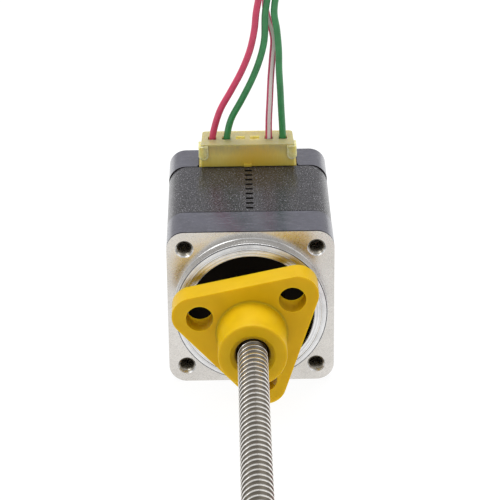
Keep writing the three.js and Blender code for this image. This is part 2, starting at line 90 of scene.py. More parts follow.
# ---- Materials ----
class Look:
    """A Principled material that is built up node by node."""

    def __init__(self, name, color, roughness, metallic=0.0, **sockets):
        self.material = bpy.data.materials.new(name)
        self.material.use_nodes = True
        self.tree = self.material.node_tree
        self.shader = self.tree.nodes["Principled BSDF"]
        self.shader.inputs["Base Color"].default_value = (*color, 1)
        self.shader.inputs["Roughness"].default_value = roughness
        self.shader.inputs["Metallic"].default_value = metallic
        for socket, value in sockets.items():
            self.shader.inputs[socket.replace("_", " ")].default_value = value
        self.place = self.node("ShaderNodeTexCoord").outputs["Object"]

    def node(self, kind, **settings):
        made = self.tree.nodes.new(kind)
        for key, value in settings.items():
            setattr(made, key, value)
        return made

    def join(self, source, target):
        self.tree.links.new(source, target)

    def scaled(self, stretch=(1, 1, 1)):
        """Object coordinates in millimetres, stretched."""
        mapping = self.node("ShaderNodeMapping")
        mapping.inputs["Scale"].default_value = [s / MM for s in stretch]
        self.join(self.place, mapping.inputs["Vector"])
        return mapping.outputs["Vector"]

    def noise(self, scale, detail=3.0, stretch=(1, 1, 1), rough=0.55):
        made = self.node("ShaderNodeTexNoise")
        made.inputs["Scale"].default_value = scale
        made.inputs["Detail"].default_value = detail
        made.inputs["Roughness"].default_value = rough
        self.join(self.scaled(stretch), made.inputs["Vector"])
        return made.outputs["Fac"]

    def ramp(self, source, *stops):
        """Colours or greys at places from 0 to 1."""
        made = self.node("ShaderNodeValToRGB")
        elements = made.color_ramp.elements
        while len(elements) < len(stops):
            elements.new(0.5)
        for element, (place, value) in zip(elements, stops):
            element.position = place
            element.color = (*value, 1) if hasattr(value, "__len__") else (value, value, value, 1)
        self.join(source, made.inputs["Fac"])
        return made.outputs["Color"]

    def math(self, operation, a, b=None, c=None):
        made = self.node("ShaderNodeMath", operation=operation)
        for socket, value in zip(made.inputs, (a, b, c)):
            if value is None:
                continue
            if isinstance(value, (int, float)):
                socket.default_value = value
            else:
                self.join(value, socket)
        return made.outputs[0]

    def mix(self, share, a, b):
        """Colour a where the share is 0, and colour b where it is 1."""
        made = self.node("ShaderNodeMix", data_type="RGBA")
        for socket, value in zip((made.inputs[0], made.inputs[6], made.inputs[7]), (share, a, b)):
            if isinstance(value, (int, float)):
                socket.default_value = value
            elif isinstance(value, tuple):
                socket.default_value = (*value, 1)
            else:
                self.join(value, socket)
        return made.outputs[2]

    def axis(self, letter):
        """One object coordinate in millimetres."""
        parts = self.node("ShaderNodeSeparateXYZ")
        self.join(self.scaled(), parts.inputs[0])
        return parts.outputs[letter]

    def radius(self):
        """The distance from the motor's axis in millimetres."""
        x = self.axis("X")
        z = self.math("SUBTRACT", self.axis("Z"), AXIS_Z / MM)
        squares = self.math("ADD", self.math("MULTIPLY", x, x), self.math("MULTIPLY", z, z))
        return self.math("SQRT", squares)

    def color(self, source):
        self.join(source, self.shader.inputs["Base Color"])

    def roughness(self, source):
        self.join(source, self.shader.inputs["Roughness"])

    def bump(self, height, strength, distance):
        """Adds a bump of that depth in millimetres over any bump that is there."""
        made = self.node("ShaderNodeBump")
        made.inputs["Strength"].default_value = strength
        made.inputs["Distance"].default_value = distance * MM
        self.join(height, made.inputs["Height"])
        normal = self.shader.inputs["Normal"]
        if normal.is_linked:
            self.join(normal.links[0].from_socket, made.inputs["Normal"])
        self.join(made.outputs["Normal"], normal)


def cap_paint():
    """Bluish black paint with a fine grain, rubbed paler in short streaks."""
    dark, light = (0.018, 0.017, 0.029), (0.038, 0.036, 0.056)
    rubbed, dusty = (0.09, 0.089, 0.113), (0.1, 0.098, 0.115)
    look = Look("cap_paint", (0.04, 0.04, 0.05), 0.2, Specular_IOR_Level=1.0, Coat_Weight=0.35)
    look.shader.inputs["Coat Roughness"].default_value = 0.2
    look.shader.inputs["Specular Tint"].default_value = (0.8, 0.82, 1.0, 1)
    broad = look.noise(0.25, 3)
    fine = look.noise(3.2, 5)
    drag = look.noise(2.2, 5, (0.3, 2.4, 1))
    tone = look.mix(look.ramp(broad, (0.3, 0.0), (0.75, 1.0)), dark, light)
    tone = look.mix(look.ramp(drag, (0.52, 0.0), (0.66, 0.8)), tone, rubbed)
    look.color(look.mix(look.ramp(fine, (0.5, 0.0), (0.75, 0.6)), tone, dusty))
    look.roughness(look.ramp(fine, (0.3, 0.14), (0.75, 0.26)))
    look.bump(fine, 0.5, 0.02)
    look.bump(drag, 0.5, 0.03)
    return look.material


SHEET = 0.5  # the thickness of one lamination


def core_steel():
    """Grainy dark laminations with a line at each joint and small worn specks."""
    pit, grit, worn_steel = (0.001, 0.001, 0.001), (0.074, 0.071, 0.086), (0.44, 0.43, 0.47)
    look = Look("core_steel", (0.05, 0.048, 0.047), 0.42, 0.2, Specular_IOR_Level=0.4)
    grain = look.noise(6.5, 3, (0.5, 0.8, 1), 0.8)
    speck = look.noise(8.0, 2, (0.5, 0.6, 1), 0.7)
    sheets = look.noise(1.0, 4, (0.12, 4.5, 0.12))
    base = look.mix(look.ramp(grain, (0.49, 0.0), (0.53, 1.0)), pit, grit)
    wave = look.math("SINE", look.math("MULTIPLY", look.axis("Y"), 2 * math.pi / SHEET))
    joint = look.ramp(look.math("MULTIPLY_ADD", wave, 0.5, 0.5), (0.0, 1.0), (0.22, 0.0))
    line = look.math("MULTIPLY", joint, look.ramp(sheets, (0.4, 0.2), (0.6, 1.0)))
    base = look.mix(line, base, (0.002, 0.002, 0.002))
    worn = look.mix(look.ramp(speck, (0.61, 0.0), (0.66, 1.0)), base, worn_steel)
    look.color(look.mix(look.ramp(sheets, (0.4, 0.0), (0.8, 0.35)), worn, (0.02, 0.02, 0.021)))
    look.roughness(look.ramp(grain, (0.3, 0.34), (0.6, 0.14)))
    look.bump(grain, 0.8, 0.018)
    look.bump(speck, 0.5, 0.01)
    return look.material


def machined_face():
    """Bead-blasted light metal, a little clouded, scuffed and pitted."""
    grey, bright = (0.63, 0.605, 0.57), (0.74, 0.715, 0.68)
    look = Look("machined_face", (0.8, 0.8, 0.79), 0.3, 1.0)
    blast = look.noise(4.5, 5)
    cloud = look.noise(0.16, 3)
    scuff = look.noise(0.9, 5, (1, 1, 3.5))
    pits = look.noise(2.6, 2)
    tone = look.mix(look.ramp(cloud, (0.3, 0.0), (0.7, 1.0)), grey, bright)
    grained = look.mix(look.ramp(blast, (0.35, 0.35), (0.6, 0.0)), tone, (0.42, 0.405, 0.385))
    scuffed = look.mix(look.ramp(scuff, (0.66, 0.0), (0.74, 0.35)), grained, (0.4, 0.385, 0.36))
    look.color(look.mix(look.ramp(pits, (0.75, 0.0), (0.79, 0.85)), scuffed, (0.1, 0.095, 0.09)))
    look.roughness(look.ramp(blast, (0.25, 0.24), (0.75, 0.34)))
    look.bump(blast, 0.25, 0.005)
    look.bump(pits, 0.2, 0.01)
    return look.material


RINGS_PER_MM = 9.0


def turned_metal():
    """Bright metal with the fine rings that a lathe leaves about the motor's axis."""
    look = Look("turned_metal", (0.62, 0.62, 0.62), 0.3, 1.0)
    across = look.node("ShaderNodeCombineXYZ")
    look.join(look.math("MULTIPLY", look.radius(), RINGS_PER_MM), across.inputs[0])
    look.join(look.math("MULTIPLY", look.axis("Y"), RINGS_PER_MM), across.inputs[1])
    rings = look.node("ShaderNodeTexNoise")
    rings.inputs["Scale"].default_value = 1.0
    rings.inputs["Detail"].default_value = 4
    look.join(across.outputs[0], rings.inputs["Vector"])
    patch = look.noise(0.5, 3)
    tone = look.mix(look.ramp(patch, (0.4, 0.0), (0.8, 1.0)), (0.78, 0.78, 0.78), (0.62, 0.615, 0.61))
    height = rings.outputs["Fac"]
    look.color(look.mix(look.ramp(height, (0.36, 0.55), (0.5, 0.0)), tone, (0.3, 0.3, 0.31)))
    look.roughness(look.ramp(height, (0.3, 0.12), (0.7, 0.3)))
    look.bump(height, 0.9, 0.03)
    return look.material


def black_seal_and_painted_shade():
    """Matt black, for the front bearing's rubber seal, and as painted shade in recesses, grooves and seams.
    """
    look = Look("black_seal_and_painted_shade", (0.006, 0.005, 0.004), 0.65, Specular_IOR_Level=0.12)
    grain = look.noise(4, 4)
    look.color(look.mix(grain, (0.003, 0.0025, 0.002), (0.012, 0.009, 0.007)))
    look.bump(grain, 0.3, 0.02)
    return look.material


def screw_steel():
    """Stainless thread with polished crests: valleys painted dark as painted shade, crests painted bright as
    a painted highlight, under a patchy film of old grease.
    """
    look = Look("screw_steel", (0.66, 0.64, 0.61), 0.26, 1.0)
    height = look.math("MULTIPLY", look.math("SUBTRACT", look.radius(), 1.9), 1.8)
    stain = look.noise(0.8, 4, (1, 0.6, 1))
    # Painted shade and highlight: the colour runs by radius, dark in the valleys and bright on the crests.
    valley_shade_crest_highlight = look.ramp(
        height,
        (0.0, (0.07, 0.06, 0.045)),
        (0.3, (0.2, 0.18, 0.15)),
        (0.82, (0.14, 0.122, 0.1)),
        (0.95, (0.88, 0.86, 0.82)),
    )
    look.color(look.mix(look.ramp(stain, (0.5, 0.0), (0.85, 0.35)), valley_shade_crest_highlight, (0.3, 0.26, 0.2)))
    look.roughness(look.ramp(height, (0.0, 0.5), (0.6, 0.34), (0.95, 0.2)))
    look.bump(look.noise(12, 3, (1, 4, 1)), 0.25, 0.008)
    return look.material


def acetal():
    """Yellow acetal, darkened round the screw: a grease stain on the mouth, and painted shade in the bore."""
    look = Look("acetal", (0.6, 0.33, 0.01), 0.38, Specular_IOR_Level=0.15)
    look.shader.inputs["Subsurface Weight"].default_value = 0.5
    look.shader.inputs["Subsurface Scale"].default_value = 0.0014
    look.shader.inputs["Subsurface Radius"].default_value = (1.0, 0.8, 0.2)
    cloud = look.noise(0.25, 3)
    grain = look.noise(5, 4)
    stray = look.math("MULTIPLY", look.math("SUBTRACT", look.noise(0.9, 4), 0.5), 0.7)
    darkening_reach = look.math("ADD", look.radius(), stray)
    tone = look.mix(look.ramp(cloud, (0.3, 0.0), (0.7, 1.0)), (0.6, 0.37, 0.003), (0.66, 0.415, 0.005))
    # Painted shade in the bore and a grease stain on the mouth: darkest inside about 2.8 mm from the axis,
    # clear beyond 3.7 mm.
    grease_and_bore_shade = look.ramp(look.math("MULTIPLY", darkening_reach, 0.2), (0.565, 0.92), (0.6, 0.4), (0.74, 0.0))
    look.color(look.mix(grease_and_bore_shade, tone, (0.3, 0.17, 0.03)))
    look.roughness(look.ramp(grain, (0.3, 0.34), (0.7, 0.48)))
    look.bump(grain, 0.3, 0.012)
    return look.material


def nylon():
    """Natural nylon, pale and greyish at the top and golden lower down and low in the middle: painted light
    where it is thin at the top, painted shade where the dark inside shows through.
    """
    look = Look("nylon", (0.8, 0.72, 0.36), 0.34, Subsurface_Weight=0.55, Subsurface_Scale=0.003)
    look.shader.inputs["Subsurface Radius"].default_value = (1.0, 0.8, 0.35)
    # Painted light and shade: the colour runs by height.
    height = look.math("DIVIDE", look.math("SUBTRACT", look.axis("Z"), 28.0), 4.4)
    flow = look.noise(1.4, 4, (2.2, 1, 0.35))
    tilted = look.math("ADD", height, look.math("MULTIPLY", look.math("SUBTRACT", flow, 0.5), 0.35))
    low, middle, high = (0.66, 0.49, 0.075), (0.72, 0.585, 0.17), (0.4, 0.355, 0.165)
    tone = look.ramp(tilted, (0.0, low), (0.5, middle), (0.92, high))
    aside = look.math("DIVIDE", look.math("SUBTRACT", look.axis("X"), 1.2), 6.0)
    lower = look.math("SUBTRACT", tilted, 0.12)
    spread = look.math("ADD", look.math("MULTIPLY", aside, aside), look.math("MULTIPLY", lower, lower))
    # Painted shade: more golden low in the middle.
    painted_shade_gold = look.ramp(spread, (0.0, 0.75), (0.9, 0.0))
    look.color(look.mix(painted_shade_gold, tone, (0.68, 0.43, 0.03)))
    look.roughness(look.ramp(look.noise(3, 4), (0.3, 0.28), (0.7, 0.44)))
    look.bump(look.noise(2.4, 3, (3, 1, 0.12)), 0.6, 0.05)
    return look.material


def painted_light_nylon():
    """The same nylon painted paler where it is thin, as painted light where light comes through it."""
    look = Look("painted_light_nylon", (0.7, 0.62, 0.3), 0.24, Subsurface_Weight=0.8, Subsurface_Scale=0.003)
    look.shader.inputs["Subsurface Radius"].default_value = (1.0, 0.85, 0.45)
    cloud = look.noise(1.1, 3)
    look.color(look.mix(look.ramp(cloud, (0.35, 0.0), (0.7, 1.0)), (0.78, 0.7, 0.36), (0.7, 0.6, 0.22)))
    look.roughness(look.ramp(look.noise(3, 4), (0.3, 0.16), (0.7, 0.32)))
    look.bump(look.noise(2.4, 3), 0.4, 0.03)
    return look.material


def insulation(name, light, dark, stripe=None):
    """Soft wire insulation. With a stripe, its colour runs along the side that "around" marks."""
    look = Look(name, light, 0.36, Coat_Weight=0.15, Coat_Roughness=0.3)
    cloud = look.noise(0.7, 3)
    base = look.mix(look.ramp(cloud, (0.3, 0.0), (0.75, 1.0)), light, dark)
    if stripe:
        uv = look.node("ShaderNodeUVMap", uv_map="around")
        parts = look.node("ShaderNodeSeparateXYZ")
        look.join(uv.outputs["UV"], parts.inputs[0])
        wobble = look.math("MULTIPLY", look.math("SUBTRACT", look.noise(1.2, 2), 0.5), 0.02)
        side = look.math("ADD", parts.outputs["X"], wobble)
        edges = ((0.42, 0.0), (0.435, 1.0), (0.585, 1.0), (0.6, 0.0))
        base = look.mix(look.ramp(side, *edges), base, stripe)
    look.color(base)
    look.roughness(look.ramp(look.noise(2.5, 3), (0.3, 0.3), (0.7, 0.44)))
    look.bump(look.noise(3, 3, (1, 1, 0.5)), 0.2, 0.015)
    return look.material


def grained(look, scale, light, dark, roughness, strength, depth):
    """One grain that turns a look's colour, roughness and surface."""
    grain = look.noise(scale, 4)
    look.color(look.mix(look.ramp(grain, (0.3, 0.0), (0.7, 1.0)), light, dark))
    look.roughness(look.ramp(grain, (0.3, roughness - 0.06), (0.7, roughness + 0.08)))
    look.bump(grain, strength, depth)
    return look.material


def worked_metal(name, light, dark, roughness, scale=3.0):
    return grained(Look(name, light, roughness, 1.0), scale, light, dark, roughness, 0.25, 0.01)


def moulded(name, light, dark, roughness):
    return grained(Look(name, light, roughness), 4, light, dark, roughness, 0.3, 0.015)


LOOKS = {
    "cap": cap_paint(),
    "core": core_steel(),
    "face": machined_face(),
    "turned": turned_metal(),
    "black": black_seal_and_painted_shade(),
    "screw": screw_steel(),
    "acetal": acetal(),
    "nylon": nylon(),
    "nylon_painted_light": painted_light_nylon(),
    "pink": insulation("insulation_pink", (0.62, 0.05, 0.125), (0.5, 0.03, 0.09)),
    "green": insulation("insulation_green", (0.03, 0.25, 0.075), (0.018, 0.17, 0.05)),
    "striped": insulation(
        "insulation_striped", (0.6, 0.045, 0.13), (0.42, 0.02, 0.08), (0.7, 0.62, 0.59)
    ),
    "rotor": worked_metal("rotor_steel", (0.2, 0.2, 0.21), (0.1, 0.1, 0.105), 0.45),
    "magnet": worked_metal("magnet_plating", (0.6, 0.59, 0.56), (0.48, 0.47, 0.45), 0.25),
    "bore": worked_metal("bore_metal", (0.5, 0.47, 0.41), (0.26, 0.235, 0.19), 0.24),
    "bearing": worked_metal("bearing_steel", (0.7, 0.7, 0.7), (0.55, 0.55, 0.55), 0.16),
    "bolt": worked_metal("bolt_zinc", (0.62, 0.61, 0.57), (0.42, 0.42, 0.42), 0.28),
    "tin": worked_metal("tinned_brass", (0.75, 0.74, 0.7), (0.6, 0.58, 0.52), 0.25, 6),
    "copper": worked_metal("enamelled_copper", (0.62, 0.2, 0.07), (0.42, 0.12, 0.04), 0.3, 5),
    "plastic": moulded("black_plastic", (0.02, 0.02, 0.021), (0.035, 0.035, 0.036), 0.42),
    "board": moulded("board_green", (0.02, 0.13, 0.05), (0.03, 0.17, 0.07), 0.4),
}


# ---- Mesh tools: millimetres about the axis ----
def scratch(bm):
    """A bmesh as an object to put modifiers on; the bmesh is freed."""
    mesh = bpy.data.meshes.new("scratch")
    bm.to_mesh(mesh)
    bm.free()
    made = bpy.data.objects.new("scratch", mesh)
    bpy.context.scene.collection.objects.link(made)
    return made


def evaluated(obj):
    """The object's mesh with its modifiers, as a bmesh; the object is removed."""
    bpy.context.view_layer.update()
    graph = bpy.context.evaluated_depsgraph_get()
    mesh = bpy.data.meshes.new_from_object(obj.evaluated_get(graph))
    bm = bmesh.new()
    bm.from_mesh(mesh)
    bpy.data.meshes.remove(mesh)
    bpy.data.objects.remove(obj)
    return bm


def boolean(bm, others, operation="DIFFERENCE"):
    """One bmesh with each of the others taken from it, or joined to it."""
    body = scratch(bm)
    tools = [scratch(other) for other in others]
    for tool in tools:
        modifier = body.modifiers.new("cut", "BOOLEAN")
        modifier.operation = operation
        modifier.solver = "EXACT"
        modifier.object = tool
    result = evaluated(body)
    for tool in tools:
        bpy.data.objects.remove(tool)
    return result


def eased(bm, width, segments=3, angle=35):
    """Rounds the edges that are sharper than an angle."""
    body = scratch(bm)
    modifier = body.modifiers.new("ease", "BEVEL")
    modifier.width = width
    modifier.segments = segments
    modifier.limit_method = "ANGLE"
    modifier.angle_limit = math.radians(angle)
    modifier.miter_outer = "MITER_ARC"
    return evaluated(body)


def turned(profile, segments=96):
    """A closed profile of (radius, y) turned about the axis. Radius 0 closes on the axis."""
    bm = bmesh.new()
    rings = []
    for radius, y in profile:
        if radius == 0:
            rings.append([bm.verts.new((0, y, 0))])
            continue
        ring = []
        for i in range(segments):
            angle = 2 * math.pi * i / segments
            ring.append(bm.verts.new((radius * math.cos(angle), y, radius * math.sin(angle))))
        rings.append(ring)
    pairs = list(zip(rings, rings[1:]))
    if profile[0][0] != 0:
        pairs.append((rings[-1], rings[0]))
    for low, high in pairs:
        for i in range(segments):
            j = (i + 1) % segments
            corners = [low[i % len(low)], low[j % len(low)], high[j % len(high)], high[i % len(high)]]
            corners = list(dict.fromkeys(corners))
            if len(corners) > 2:
                bm.faces.new(corners)
    bmesh.ops.recalc_face_normals(bm, faces=bm.faces)
    return bm


def prism(outline, y0, y1):
    """An outline of (x, z) pushed along the axis."""
    bm = bmesh.new()
    front = [bm.verts.new((x, y0, z)) for x, z in outline]
    back = [bm.verts.new((x, y1, z)) for x, z in outline]
    bm.faces.new(front)
    bm.faces.new(list(reversed(back)))
    for i in range(len(outline)):
        j = (i + 1) % len(outline)
        bm.faces.new((front[i], front[j], back[j], back[i]))
    bmesh.ops.recalc_face_normals(bm, faces=bm.faces)
    return bm


def block(x, y, z):
    """A box between two values of each coordinate."""
    return prism([(x[0], z[0]), (x[1], z[0]), (x[1], z[1]), (x[0], z[1])], *y)


def rod(x, z, radius, y0, y1, segments=48):
    """A round bar along the axis, centred on (x, z)."""
    bm = turned([(0, y0), (radius, y0), (radius, y1), (0, y1)], segments)
    bmesh.ops.translate(bm, verts=bm.verts, vec=(x, 0, z))
    return bm


def arc(x, z, radius, start, end, steps):
    """Points on an arc about (x, z), between two angles in degrees."""
    turn = [math.radians(start + (end - start) * i / steps) for i in range(steps + 1)]
    return [(x + radius * math.cos(a), z + radius * math.sin(a)) for a in turn]


def rounded_square(half, radius, steps=12):
    middle = half - radius
    outline = []
    for i, (sx, sz) in enumerate([(1, 1), (-1, 1), (-1, -1), (1, -1)]):
        outline += arc(sx * middle, sz * middle, radius, 90 * i, 90 * i + 90, steps)
    return outline


def merged(parts):
    """Several bmeshes in one, each still its own shell."""
    whole = bmesh.new()
    for part in parts:
        mesh = bpy.data.meshes.new("part")
        part.to_mesh(mesh)
        part.free()
        whole.from_mesh(mesh)
        bpy.data.meshes.remove(mesh)
    return whole


def corner_places():
    """Where the four holes are, as (x, z)."""
    return [(sx * HOLE_AT, sz * HOLE_AT) for sx, sz in [(1, 1), (-1, 1), (-1, -1), (1, -1)]]


SHARP_ANGLE = 40


def finished(name, bm, looks, body, nodes=(), paint=None):
    """Puts a bmesh in the frame as a piece. paint(face) gives the index of the face's look."""
    if paint:
        for face in bm.faces:
            face.material_index = paint(face)
    bm.transform(Matrix.Translation(ORIGIN) @ Matrix.Scale(MM, 4))
    mesh = bpy.data.meshes.new(name)
    bm.to_mesh(mesh)
    bm.free()
    mesh.shade_smooth()
    mesh.set_sharp_from_angle(angle=math.radians(SHARP_ANGLE))
    for look in looks:
        mesh.materials.append(LOOKS[look])
    piece = bpy.data.objects.new(name, mesh)
    bpy.context.scene.collection.objects.link(piece)
    flat = piece.modifiers.new("flat", "WEIGHTED_NORMAL")
    flat.weight = 90
    flat.keep_sharp = True
    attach(piece, body)
    if nodes:
        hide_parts(*nodes)


# ---- Leads ----
LEAD_D = 0.0012
LEAD_LENGTH = 0.3
RISES = {
    1: [
        (-0.00625, 0.0298, 0.0159), (-0.0062, 0.0298, 0.0182), (-0.0059, 0.0298, 0.0199),
        (-0.00475, 0.0298, 0.0236), (-0.0027, 0.0298, 0.0274), (-0.0008, 0.0298, 0.0311),
        (0.0006, 0.0298, 0.0348), (0.0014, 0.0298, 0.0385),
    ],
    2: [
        (-0.00375, 0.0298, 0.0159), (-0.00365, 0.0298, 0.0183), (-0.0029, 0.0298, 0.0217),
        (-0.00095, 0.0298, 0.0255), (0.00085, 0.0298, 0.0292), (0.00225, 0.0298, 0.0329),
        (0.0031, 0.0298, 0.0366),
    ],
    5: [
        (0.00375, 0.0298, 0.0159), (0.0038, 0.0298, 0.0216), (0.004, 0.03005, 0.0254),
        (0.0042, 0.03055, 0.0291), (0.0045, 0.03095, 0.0329), (0.0047, 0.03125, 0.0366),
    ],
    6: [
        (0.00625, 0.0298, 0.0159), (0.0062, 0.0298, 0.0196), (0.006, 0.0298, 0.0235),
        (0.00585, 0.0298, 0.0272), (0.00565, 0.0298, 0.031), (0.0056, 0.0298, 0.0347),
        (0.0053, 0.0298, 0.0384),
    ],
}
# The bundle's route: x, y, z and the heading of its row in degrees.
ROUTE = [
    (0.00335, 0.0298, 0.0421, 180), (0.0052, 0.0283, 0.05, 195), (0.011, 0.0235, 0.0585, 215),
    (0.0215, 0.014, 0.0645, 224), (0.0325, 0.0035, 0.065, 220), (0.0408, -0.0058, 0.06, 206),
    (0.044, -0.0107, 0.0488, 192), (0.0443, -0.0124, 0.036, 182), (0.0443, -0.0127, 0.024, 180),
    (0.0443, -0.0129, 0.012, 180), (0.0443, -0.0136, 0.0005, 180), (0.0443, -0.0168, -0.0082, 180),
    (0.0443, -0.024, -0.0122, 180), (0.0442, -0.034, -0.01275, 180), (0.044, -0.046, -0.01275, 180),
    (0.0436, -0.058, -0.01275, 180),
]
PLACES = {1: (0.00155, 0), 2: (0, 0), 5: (0, 0.0015), 6: (-0.0015, 0)}
COIL_CENTRE = Vector((0.027, -0.071))
COIL_RADIUS = 0.0165
COIL_STEP = 0.0046
COIL_Z = -0.01275


def beside(index, across, above):
    """A point beside the bundle's route, so far along its row and so far up from it."""
    x, y, z, heading = ROUTE[index]
    before = Vector(ROUTE[max(index - 1, 0)][:3])
    after = Vector(ROUTE[min(index + 1, len(ROUTE) - 1)][:3])
    row = Vector((math.cos(math.radians(heading)), math.sin(math.radians(heading)), 0))
    top = row.cross((after - before).normalized()).normalized()
    return Vector((x, y, z)) + row * across + top * above


def smooth(points, steps=6):
    """A centripetal curve through every point."""
    ends = [points[0] * 2 - points[1], *points, points[-1] * 2 - points[-2]]
    path = []
    for a, b, c, d in zip(ends, ends[1:], ends[2:], ends[3:]):
        t1 = math.sqrt((b - a).length)
        t2 = t1 + math.sqrt((c - b).length)
        t3 = t2 + math.sqrt((d - c).length)
        for i in range(steps):
            t = t1 + (t2 - t1) * i / steps
            ab = a.lerp(b, t / t1)
            bc = b.lerp(c, (t - t1) / (t2 - t1))
            cd = c.lerp(d, (t - t2) / (t3 - t2))
            abc = ab.lerp(bc, t / t2)
            bcd = bc.lerp(cd, (t - t1) / (t3 - t1))
            path.append(abc.lerp(bcd, (t - t1) / (t2 - t1)))
    return [*path, points[-1]]


def lead_path(position):
    """The lead's whole line: its rise, its place in the bundle, and its turns in the coil."""
    across, above = PLACES[position]
    points = [Vector(p) for p in RISES[position]]
    points += [beside(i, across, above) for i in range(len(ROUTE))]
    points = [p + ORIGIN for p in points]
    path = smooth(points)
    length = sum((b - a).length for a, b in zip(path, path[1:]))
    angle = 0.0
    while length < LEAD_LENGTH:
        radius = COIL_RADIUS - COIL_STEP * angle / 360 - across
        turn = math.radians(-angle)
        flat = COIL_CENTRE + Vector((math.cos(turn), math.sin(turn))) * radius
        point = Vector((flat.x, flat.y, COIL_Z + above)) + ORIGIN
        length += (point - path[-1]).length
        path.append(point)
        angle += 6
    return path


def tube(name, path, radius, sides=16):
    """A round tube along a path. Its "around" map runs from 0 to 1 round it, from back to front to back."""
    bm = bmesh.new()
    layer = bm.loops.layers.uv.new("around")
    rings = []
    facing = Vector((0, -1, 0))
    for i, point in enumerate(path):
        along = (path[min(i + 1, len(path) - 1)] - path[max(i - 1, 0)]).normalized()
        facing = (facing - along * facing.dot(along)).normalized()
        side = along.cross(facing)
        ring = []
        for k in range(sides):
            angle = 2 * math.pi * (k / sides - 0.5)
            ring.append(bm.verts.new(point + (facing * math.cos(angle) + side * math.sin(angle)) * radius))
        rings.append(ring)
    for i, (low, high) in enumerate(zip(rings, rings[1:])):
        for k in range(sides):
            j = (k + 1) % sides
            face = bm.faces.new((low[k], low[j], high[j], high[k]))
            for loop, (u, v) in zip(face.loops, ((k, i), (k + 1, i), (k + 1, i + 1), (k, i + 1))):
                loop[layer].uv = (u / sides, v / len(path))
    for ring in (rings[0], rings[-1]):
        bm.faces.new(ring)
    bmesh.ops.recalc_face_normals(bm, faces=bm.faces)
    mesh = bpy.data.meshes.new(name)
    bm.to_mesh(mesh)
    bm.free()
    mesh.shade_smooth()
    mesh.set_sharp_from_angle(angle=math.radians(50))
    made = bpy.data.objects.new(name, mesh)
    bpy.context.scene.collection.objects.link(made)
    return made


def bare_end(name, path):
    """The tinned strands that stand out of a lead's end."""
    end, back = path[-1], path[-2]
    ahead = (end - back).normalized()
    tip = [end - ahead * 0.0005, end + ahead * 0.001, end + ahead * 0.0024, end + ahead * 0.0026]
    piece = tube(name, tip, LEAD_D * 0.29, 12)
    piece.data.materials.append(LOOKS["tin"])
    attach(piece, "motor")
    return piece


def make_leads():
    kinds = {1: ("lead_pink", "pink"), 2: ("lead_green_1", "green"), 5: ("lead_striped", "striped")}
    kinds[6] = ("lead_green_2", "green")
    for position, (node, look) in kinds.items():
        path = lead_path(position)
        piece = tube(node + "_wire", path, LEAD_D / 2)
        piece.data.materials.append(LOOKS[look])
        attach(piece, "motor")
        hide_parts(node, "lead_coil")
        tip = bare_end(node + "_bare_end", path)


def make_tie():
    """A nylon tie round the bundle where it passes the left of the coil."""
    low, high = 11.85, 16.55
    drop, rise = -13.75, -10.2
    outer = [(low, drop), (high, drop), (high, -12.1), (15.0, rise), (12.6, rise), (low, -11.6)]
    centre = sum(p[0] for p in outer) / len(outer), sum(p[1] for p in outer) / len(outer)
    inner = [
        (centre[0] + (x - centre[0]) * 0.86, centre[1] + (z - centre[1]) * 0.8) for x, z in outer
    ]
    band = boolean(prism(outer, -0.8, 0.8), [prism(inner, -2, 2)])
    head = block((15.2, 17.0), (-1.1, 1.1), (-12.2, -10.5))
    tie = eased(merged([band, head]), 0.12, 2)
    bmesh.ops.rotate(tie, verts=tie.verts, cent=(0, 0, 0), matrix=Matrix.Rotation(math.pi, 3, "Z"))
    shift = Vector((COIL_CENTRE.x, COIL_CENTRE.y, 0)) / MM
    bmesh.ops.translate(tie, verts=tie.verts, vec=shift)
    finished("lead_tie_band", tie, ["plastic"], "motor", ["lead_tie"])


# ---- Front cap ----
FRONT_LENGTH = 8.0
PILOT_R = 12.85
PILOT_END = span("front_end_cap")[0].y
RECESS_R = 10.55
RECESS_FLOOR = 2.9
POCKET_R = 12.85  # the space for the windings, in both caps
POCKET_FLOOR = 4.8
HUB_R = 7.6  # the boss in each pocket, with a bearing in it
BEARING_SEAT_R = 6.6
CASE_HOLE_R = 1.55
TAPPED_R = 1.6
CAP_EASE = 0.06
GROOVE = (0.12, 0.36)
GROOVE_DEPTH = 0.24


def make_front_cap():
    beyond = FRONT_LENGTH + 1
    cutters = [rod(0, 0, PILOT_R - 0.8, -1, beyond, 128), rod(0, 0, POCKET_R, POCKET_FLOOR, beyond, 128)]
    cutters += [rod(x, z, TAPPED_R - 0.04, -1, beyond) for x, z in corner_places()]
    land = prism(rounded_square(SIDE / 2 - GROOVE_DEPTH, CORNER - GROOVE_DEPTH), 0, 1)
    cutters.append(boolean(prism(rounded_square(SIDE / 2 + 0.5, CORNER + 0.5), *GROOVE), [land]))
    cap = boolean(prism(rounded_square(SIDE / 2, CORNER), 0, FRONT_LENGTH), cutters)
    cap = eased(cap, CAP_EASE, 2, 50)

    def paint(face):
        middle = face.calc_center_median()
        front = face.normal.y < -0.75 and middle.y < 0.3
        hole = any((Vector(p) - middle.xz).length < TAPPED_R for p in corner_places())
        # The groove's faces take the matt black, as painted shade in the groove.
        if GROOVE[0] - 0.02 < middle.y < GROOVE[1] + 0.02 and not hole:
            return 2
        return 1 if front or hole else 0

    looks = ["cap", "face", "black"]
    finished("front_cap_body", cap, looks, "motor", ["front_end_cap"], paint)
    make_pilot_ring()
    for number, (x, z) in enumerate(corner_places(), 1):
        make_tapped_hole(number, x, z)


